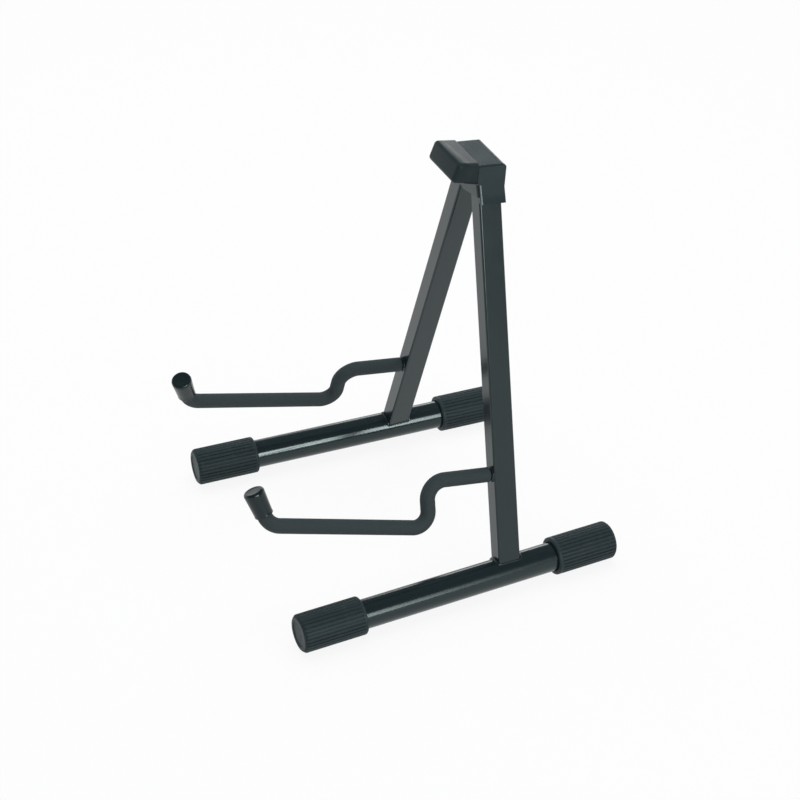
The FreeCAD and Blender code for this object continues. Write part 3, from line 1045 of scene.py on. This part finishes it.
floor_mesh = bpy.data.meshes.new("sweep_floor")
floor_signs = [(-1, -1), (1, -1), (1, 1), (-1, 1)]
floor_corners = [(x * floor_reach, y * floor_reach, 0) for x, y in floor_signs]
floor_mesh.from_pydata(floor_corners, [], [(0, 1, 2, 3)])
floor = stage_piece("sweep_floor", floor_mesh, sweep_paint())

world = bpy.data.worlds.new("white_room")
bpy.context.scene.world = world
world.use_nodes = True
world.node_tree.nodes.clear()
room = Wire(world.node_tree)
dim = room.node("ShaderNodeBackground", None, {"Color": room_tint, "Strength": room_strength})
white = room.node("ShaderNodeBackground", None, {"Color": plain_white, "Strength": 1.0})
room_light = room.node("ShaderNodeMixShader", None, {0: seen_directly(room), 1: dim, 2: white})
end_with(room, room_light, "ShaderNodeOutputWorld")
print("floor:", 2 * floor_reach, "m wide")

# %% [markdown]
# A dark canopy stands for the unlit room.  It is part of a sphere: high all
# round, and down to the horizon on the camera's side.  The gloss shows it, and
# it holds back some of the white room's light, but the camera sees past it.

# %% Dark room
canopy_radius = 7.0
canopy_rows = 45
canopy_columns = 90
camera_side_middle = -20
camera_side_half_width = 92
canopy_edge_camera_side = 3
canopy_edge_elsewhere = 19
canopy_glow = {"Color": (0.85, 0.95, 1, 1), "Strength": 0.16}


def canopy_reaches(bearing, height):
    """True where the unlit room is: bearing and height in degrees from the stand."""
    from_middle = abs((bearing - camera_side_middle + 180) % 360 - 180)
    if from_middle < camera_side_half_width:
        return height > canopy_edge_camera_side
    return height > canopy_edge_elsewhere


def dark_canopy():
    bm = bmesh.new()
    grid = []
    for row in range(canopy_rows + 1):
        height = math.radians(90 * row / canopy_rows)
        level_radius = canopy_radius * math.cos(height)
        rise = canopy_radius * math.sin(height)
        turns = [2 * math.pi * column / canopy_columns for column in range(canopy_columns)]
        grid.append([bm.verts.new(turned_point(level_radius, turn, rise)) for turn in turns])
    for row, (lower, upper) in enumerate(zip(grid, grid[1:])):
        for column in range(canopy_columns):
            if canopy_reaches(360 * column / canopy_columns, 90 * (row + 0.5) / canopy_rows):
                after = (column + 1) % canopy_columns
                bm.faces.new((lower[column], lower[after], upper[after], upper[column]))
    return bm


canopy_mesh = bpy.data.meshes.new("dark_canopy")
canopy_bm = dark_canopy()
canopy_bm.to_mesh(canopy_mesh)
canopy_bm.free()
canopy_finish, canopy_start = new_finish("unlit_room")
end_with(canopy_start, canopy_start.node("ShaderNodeEmission", None, canopy_glow))
canopy = stage_piece("dark_canopy", canopy_mesh, canopy_finish)
canopy.visible_camera = False
canopy.visible_diffuse = False
canopy.visible_transmission = False
print("canopy faces:", len(canopy_mesh.polygons))

# %% [markdown]
# ## Lamps
#
# Black things are lit twice: by what falls on them, and by what they mirror.
# The two are set apart here.  Four lamps are seen only in the gloss.  A strip to
# the right of the camera draws the line of light along the round bars, and the
# line fades where the strip ends in a dimmer one.  A wide lamp between the strip
# and the camera catches the rounded corner of the head's skirt.  A dim glow far
# behind on the left does the same for the edges that face away.  Three other
# lamps, right, above and left, are kept out of the gloss, because the bars show
# a dark ceiling, and only light the surfaces.

# %% Softboxes
lamp_target = Vector((0.0, 0.0, 0.17))
softboxes = [
    # name, bearing and climb in degrees, distance, width and height in metres,
    # how bright its face is, and whether only the gloss shows it
    ("strip_softbox", 11.2, 18.7, 5.0, 1.08, 2.16, 16.0, True),
    ("strip_end", 20.3, 18.7, 5.0, 0.5, 2.16, 7.0, True),
    ("corner_softbox", -8.0, 19.5, 5.0, 1.7, 1.4, 8.0, True),
    ("far_glow", 147.0, 11.5, 2.4, 1.3, 0.5, 3.1, True),
    ("right_softbox", 21.0, 22.0, 2.2, 1.5, 0.6, 4.4, False),
    ("top_softbox", 158.2, 74.9, 2.4, 2.4, 2.4, 3.6, False),
    ("left_softbox", -120.5, 24.5, 2.6, 1.8, 1.4, 0.9, False),
]


def direction(bearing, climb):
    """A unit vector from a bearing, counted from +X, and a climb, both in radians."""
    return turned_point(math.cos(climb), bearing, math.sin(climb))


for name, bearing, climb, distance, width, height, radiance, in_gloss in softboxes:
    lamp = bpy.data.lights.new(name, "AREA")
    lamp.shape = "RECTANGLE"
    lamp.size = width
    lamp.size_y = height
    lamp.energy = radiance * math.pi * width * height
    towards = direction(math.radians(bearing), math.radians(climb))
    box = bpy.data.objects.new(name, lamp)
    box.location = lamp_target + towards * distance
    box.rotation_mode = "QUATERNION"
    box.rotation_quaternion = towards.to_track_quat("Z", "Y")
    box.visible_glossy = in_gloss
    box.visible_diffuse = not in_gloss
    bpy.context.scene.collection.objects.link(box)
print("lamps:", len(softboxes))

# %% [markdown]
# ## Camera
#
# The photograph's angle was worked out from the stand's own edges: the camera
# is in front on the right, and looks down by about a third of a right angle.  A
# long lens from nearly two metres keeps the bars almost parallel.

# %% Camera
camera_bearing = math.radians(66.3762 - 90)
camera_climb = math.radians(33.9156)
camera_distance = 1800.20 * mm
camera_target = Vector((73.603 * mm, back_shift - 78.424 * mm, 183.5 * mm))
photo_side = 800
focal_length_in_pixels = 2213.82
sensor_width = 36.0

toward_camera = direction(camera_bearing, camera_climb)
image_right = upward.cross(toward_camera).normalized()
image_up = toward_camera.cross(image_right)

camera_data = bpy.data.cameras.new("camera")
camera_data.sensor_width = sensor_width
camera_data.lens = sensor_width * focal_length_in_pixels / photo_side
camera_data.clip_start = 0.05
camera_data.clip_end = 60.0
camera = bpy.data.objects.new("camera", camera_data)
camera.location = camera_target + toward_camera * camera_distance
camera_turn = Matrix((image_right, image_up, toward_camera)).transposed()
camera.rotation_mode = "QUATERNION"
camera.rotation_quaternion = camera_turn.to_quaternion()
bpy.context.scene.collection.objects.link(camera)
bpy.context.scene.camera = camera
bpy.context.scene.view_settings.view_transform = "Standard"
print("camera at", [round(x, 4) for x in camera.location])

# %% [markdown]
# ## Finish
#
# The view layer is brought up to date, so that every piece stands where its
# body puts it.

# %% Bring the scene up to date
bpy.context.view_layer.update()
